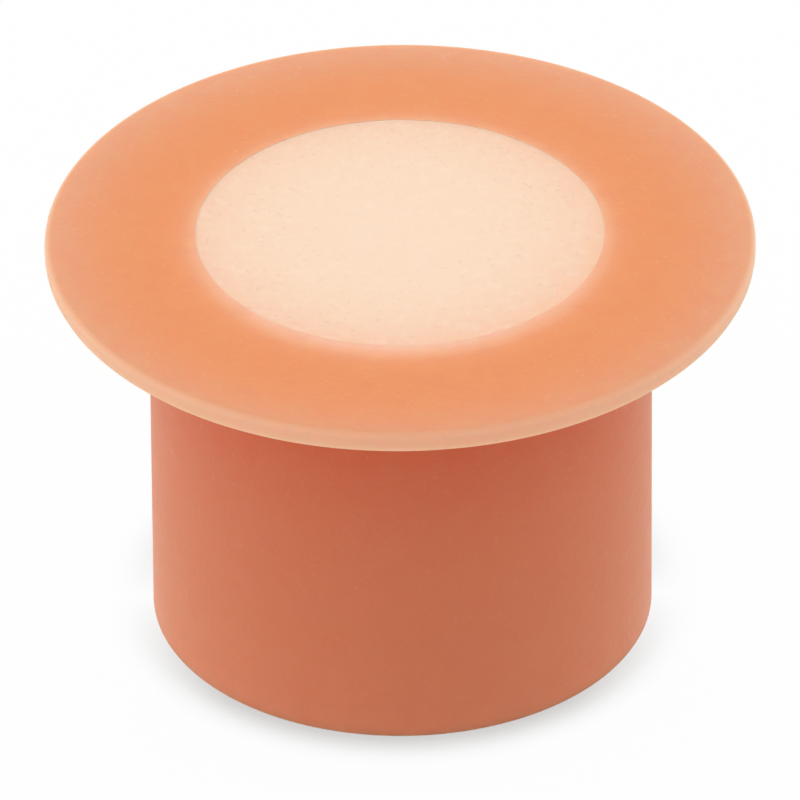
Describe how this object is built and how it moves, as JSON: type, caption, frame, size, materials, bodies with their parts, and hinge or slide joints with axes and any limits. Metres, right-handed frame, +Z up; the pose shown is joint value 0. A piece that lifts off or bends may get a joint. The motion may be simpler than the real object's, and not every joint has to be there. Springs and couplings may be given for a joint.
{
  "type": "silicone sponge closure",
  "caption": "Flanged silicone closure for a culture flask neck: a wide thin brim over a hollow round plug, with a pale sponge disc set in the top for gas exchange.",
  "frame": {"origin": "centre of the ring that the plug's end rests on", "axes": "+Z up along the closure's axis, from the plug's end to the flange"},
  "size_m": [0.0536, 0.0536, 0.0331],
  "materials": {
    "orange_silicone": "satin translucent orange silicone, paler where it is thin",
    "pale_sponge": "matt pale peach silicone sponge with fine open pores"
  },
  "bodies": {
    "root": {"flanged_plug": "orange_silicone", "sponge_disc": "pale_sponge"}
  },
  "joints": []
}
